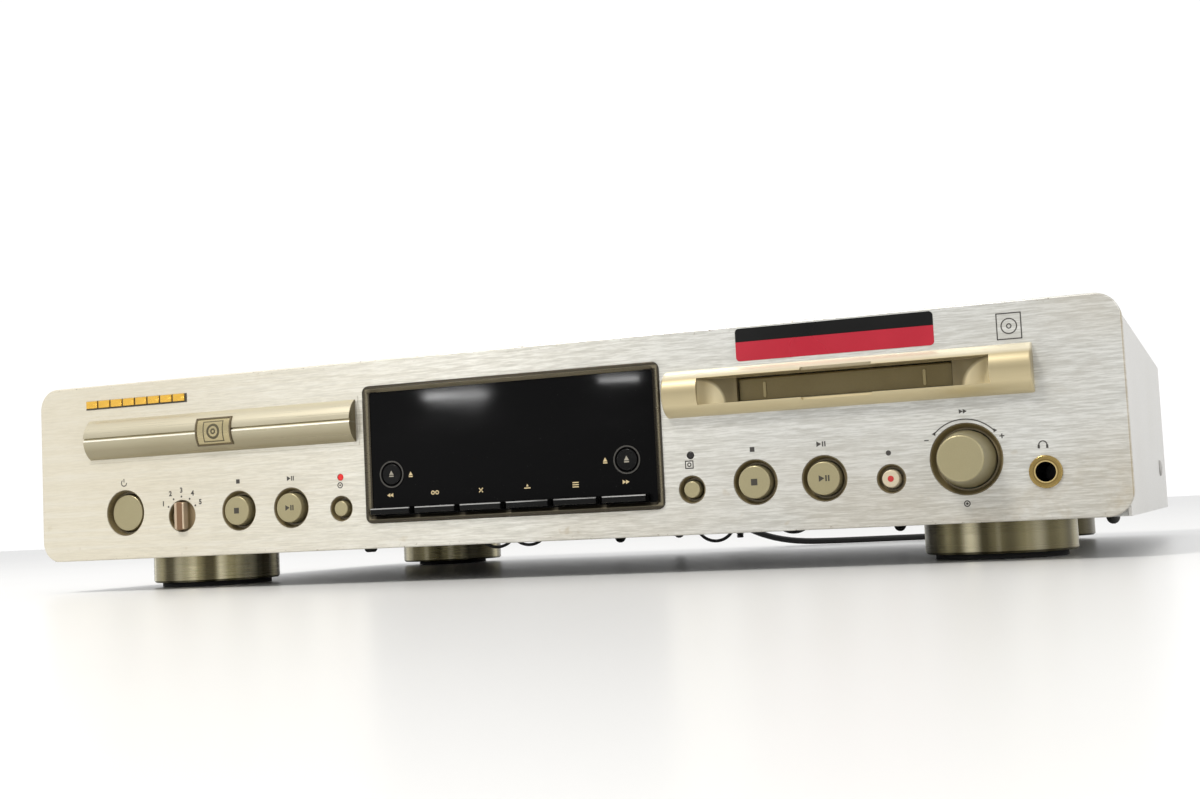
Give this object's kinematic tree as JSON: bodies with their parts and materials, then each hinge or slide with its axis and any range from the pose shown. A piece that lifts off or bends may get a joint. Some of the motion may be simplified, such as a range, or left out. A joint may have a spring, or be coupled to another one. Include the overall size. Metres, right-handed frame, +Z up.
{
  "type": "compact disc and minidisc deck",
  "caption": "Flat disc deck with a disc drawer, a minidisc slot, a display, front controls and a coiled mains lead.",
  "frame": {"origin": "the surface that the feet stand on, below the middle of the deck without its lead", "axes": "+Z up, -Y out of the front, +X to the right seen from the front"},
  "size_m": [0.44, 0.4091, 0.0861],
  "materials": {
    "plate": "brushed",
    "frame": "satin",
    "cover": "fine textured paint",
    "chassis": "zinc plated",
    "panel": "matt paint",
    "foot": "turned metallic coat",
    "pad": "matt",
    "fastener": "plated",
    "button": "satin",
    "pale_button": "satin",
    "lamp": "clear",
    "trim": "satin",
    "window": "polished",
    "tube": "polished",
    "key": "satin",
    "gold": "polished",
    "bar": "satin",
    "tray": "fine texture",
    "gear": "moulded",
    "motor": "plated",
    "steel": "bright",
    "chrome": "polished",
    "pickup": "cast",
    "bezel": "satin",
    "flap": "satin",
    "board": "solder mask",
    "iron": "varnished",
    "socket": "moulded",
    "cord": "satin"
  },
  "bodies": {
    "case": {"faceplate": "plate", "front_frame": "frame", "top_cover": "cover", "bottom_chassis": "chassis", "rear_panel": "panel", "foot_rings": "foot", "foot_pads": "pad", "case_screws": "fastener", "front_board": "board", "status_lamps": "lamp", "display_trim": "trim", "display_window": "window", "display_tube": "tube", "headphone_jack": "gold", "loader_frame": "tray", "loading_motor": "motor", "clamp_bridge": "steel", "md_bezel": "bezel", "md_drive": "steel", "main_board": "board", "power_transformer": "iron", "rear_jacks": "socket", "lead_relief": "cord", "mains_lead": "cord", "lead_coil": "cord", "mains_plug": "cord"},
    "tray": {"cd_tray": "tray", "drawer_front": "bar"},
    "drive_gear": {"drive_gear": "gear"},
    "idler_gear": {"idler_gear": "gear"},
    "motor_gear": {"motor_gear": "gear"},
    "deck": {"cd_deck": "steel", "pickup_rods": "chrome", "spindle_motor": "motor"},
    "turntable": {"turntable": "tray"},
    "cd_pickup": {"cd_pickup": "pickup"},
    "clamper": {"clamper": "tray"},
    "md_flap": {"md_flap": "flap"},
    "md_holder": {"md_holder": "steel"},
    "md_spindle": {"md_spindle": "steel"},
    "md_pickup": {"md_pickup": "pickup"},
    "jog_shaft": {"jog_shaft": "steel"},
    "jog_knob": {"jog_knob": "button"},
    "mode_knob": {"mode_knob": "button"},
    "power_button": {"power_button": "button"},
    "cd_stop_button": {"cd_stop_button": "button"},
    "cd_play_button": {"cd_play_button": "button"},
    "cd_select_button": {"cd_select_button": "button"},
    "md_select_button": {"md_select_button": "button"},
    "md_stop_button": {"md_stop_button": "button"},
    "md_play_button": {"md_play_button": "button"},
    "record_button": {"record_button": "pale_button"},
    "drawer_button": {"drawer_button": "key"},
    "eject_button": {"eject_button": "key"},
    "skip_back_key": {"skip_back_key": "key"},
    "dub_key": {"dub_key": "key"},
    "cancel_key": {"cancel_key": "key"},
    "edit_key": {"edit_key": "key"},
    "menu_key": {"menu_key": "key"},
    "skip_ahead_key": {"skip_ahead_key": "key"}
  },
  "joints": [
    {"name": "tray_slide", "type": "slide", "parent": "case", "child": "tray", "axis": [0, -1, 0], "range_m": [0, 0.138]},
    {"name": "drive_gear_spin", "type": "hinge", "parent": "case", "child": "drive_gear", "pos_m": [-0.174, -0.0973, 0.055], "axis": [0, 0, 1], "range_deg": [0, 660]},
    {"name": "idler_gear_spin", "type": "hinge", "parent": "case", "child": "idler_gear", "pos_m": [-0.1508, -0.0973, 0.05], "axis": [0, 0, 1], "range_deg": [-2374, 0]},
    {"name": "motor_gear_spin", "type": "hinge", "parent": "case", "child": "motor_gear", "pos_m": [-0.1306, -0.0973, 0.047], "axis": [0, 0, 1], "range_deg": [0, 7118]},
    {"name": "deck_tilt", "type": "hinge", "parent": "case", "child": "deck", "pos_m": [-0.1305, 0.0237, 0.049], "axis": [1, 0, 0], "range_deg": [0, 3.5]},
    {"name": "turntable_spin", "type": "hinge", "parent": "deck", "child": "turntable", "pos_m": [-0.1305, -0.0653, 0.06], "axis": [0, 0, 1], "continuous": true},
    {"name": "pickup_slide", "type": "slide", "parent": "deck", "child": "cd_pickup", "axis": [0, 1, 0], "range_m": [0, 0.034]},
    {"name": "clamper_spin", "type": "hinge", "parent": "case", "child": "clamper", "pos_m": [-0.1305, -0.0653, 0.068], "axis": [0, 0, 1], "continuous": true},
    {"name": "md_flap_swing", "type": "hinge", "parent": "case", "child": "md_flap", "pos_m": [0.1263, -0.1344, 0.0671], "axis": [1, 0, 0], "range_deg": [0, 80], "stiffness_Nm_per_rad": 0.001, "springref_deg": -28.65},
    {"name": "md_holder_drop", "type": "slide", "parent": "case", "child": "md_holder", "axis": [0, 0, 1], "range_m": [-0.0045, 0]},
    {"name": "md_spindle_spin", "type": "hinge", "parent": "case", "child": "md_spindle", "pos_m": [0.1263, -0.0873, 0.054], "axis": [0, 0, 1], "continuous": true},
    {"name": "md_pickup_slide", "type": "slide", "parent": "case", "child": "md_pickup", "axis": [0, 1, 0], "range_m": [0, 0.017]},
    {"name": "jog_push", "type": "slide", "parent": "case", "child": "jog_shaft", "axis": [0, 1, 0], "range_m": [0, 0.001], "stiffness_N_per_m": 400, "springref_m": -0.002},
    {"name": "jog_turn", "type": "hinge", "parent": "jog_shaft", "child": "jog_knob", "pos_m": [0.1677, -0.1413, 0.03445], "axis": [0, 1, 0], "continuous": true},
    {"name": "mode_turn", "type": "hinge", "parent": "case", "child": "mode_knob", "pos_m": [-0.1485, -0.1413, 0.0297], "axis": [0, 1, 0], "range_deg": [-60, 60]},
    {"name": "power_button_push", "type": "slide", "parent": "case", "child": "power_button", "axis": [0, 1, 0], "range_m": [0, 0.003], "stiffness_N_per_m": 300, "springref_m": -0.002},
    {"name": "cd_stop_button_push", "type": "slide", "parent": "case", "child": "cd_stop_button", "axis": [0, 1, 0], "range_m": [0, 0.001], "stiffness_N_per_m": 300, "springref_m": -0.002},
    {"name": "cd_play_button_push", "type": "slide", "parent": "case", "child": "cd_play_button", "axis": [0, 1, 0], "range_m": [0, 0.001], "stiffness_N_per_m": 300, "springref_m": -0.002},
    {"name": "cd_select_button_push", "type": "slide", "parent": "case", "child": "cd_select_button", "axis": [0, 1, 0], "range_m": [0, 0.001], "stiffness_N_per_m": 300, "springref_m": -0.002},
    {"name": "md_select_button_push", "type": "slide", "parent": "case", "child": "md_select_button", "axis": [0, 1, 0], "range_m": [0, 0.001], "stiffness_N_per_m": 300, "springref_m": -0.002},
    {"name": "md_stop_button_push", "type": "slide", "parent": "case", "child": "md_stop_button", "axis": [0, 1, 0], "range_m": [0, 0.001], "stiffness_N_per_m": 300, "springref_m": -0.002},
    {"name": "md_play_button_push", "type": "slide", "parent": "case", "child": "md_play_button", "axis": [0, 1, 0], "range_m": [0, 0.001], "stiffness_N_per_m": 300, "springref_m": -0.002},
    {"name": "record_button_push", "type": "slide", "parent": "case", "child": "record_button", "axis": [0, 1, 0], "range_m": [0, 0.001], "stiffness_N_per_m": 300, "springref_m": -0.002},
    {"name": "drawer_button_push", "type": "slide", "parent": "case", "child": "drawer_button", "axis": [0, 1, 0], "range_m": [0, 0.001], "stiffness_N_per_m": 300, "springref_m": -0.002},
    {"name": "eject_button_push", "type": "slide", "parent": "case", "child": "eject_button", "axis": [0, 1, 0], "range_m": [0, 0.001], "stiffness_N_per_m": 300, "springref_m": -0.002},
    {"name": "skip_back_key_push", "type": "slide", "parent": "case", "child": "skip_back_key", "axis": [0, 1, 0], "range_m": [0, 0.001], "stiffness_N_per_m": 300, "springref_m": -0.002},
    {"name": "dub_key_push", "type": "slide", "parent": "case", "child": "dub_key", "axis": [0, 1, 0], "range_m": [0, 0.001], "stiffness_N_per_m": 300, "springref_m": -0.002},
    {"name": "cancel_key_push", "type": "slide", "parent": "case", "child": "cancel_key", "axis": [0, 1, 0], "range_m": [0, 0.001], "stiffness_N_per_m": 300, "springref_m": -0.002},
    {"name": "edit_key_push", "type": "slide", "parent": "case", "child": "edit_key", "axis": [0, 1, 0], "range_m": [0, 0.001], "stiffness_N_per_m": 300, "springref_m": -0.002},
    {"name": "menu_key_push", "type": "slide", "parent": "case", "child": "menu_key", "axis": [0, 1, 0], "range_m": [0, 0.001], "stiffness_N_per_m": 300, "springref_m": -0.002},
    {"name": "skip_ahead_key_push", "type": "slide", "parent": "case", "child": "skip_ahead_key", "axis": [0, 1, 0], "range_m": [0, 0.001], "stiffness_N_per_m": 300, "springref_m": -0.002}
  ],
  "couplings": [
    {"joint": "drive_gear_spin", "follows": "tray_slide", "rad_per_m": 83.333},
    {"joint": "idler_gear_spin", "follows": "tray_slide", "rad_per_m": -300},
    {"joint": "motor_gear_spin", "follows": "tray_slide", "rad_per_m": 900},
    {"joint": "clamper_spin", "follows": "turntable_spin", "ratio": 1}
  ]
}
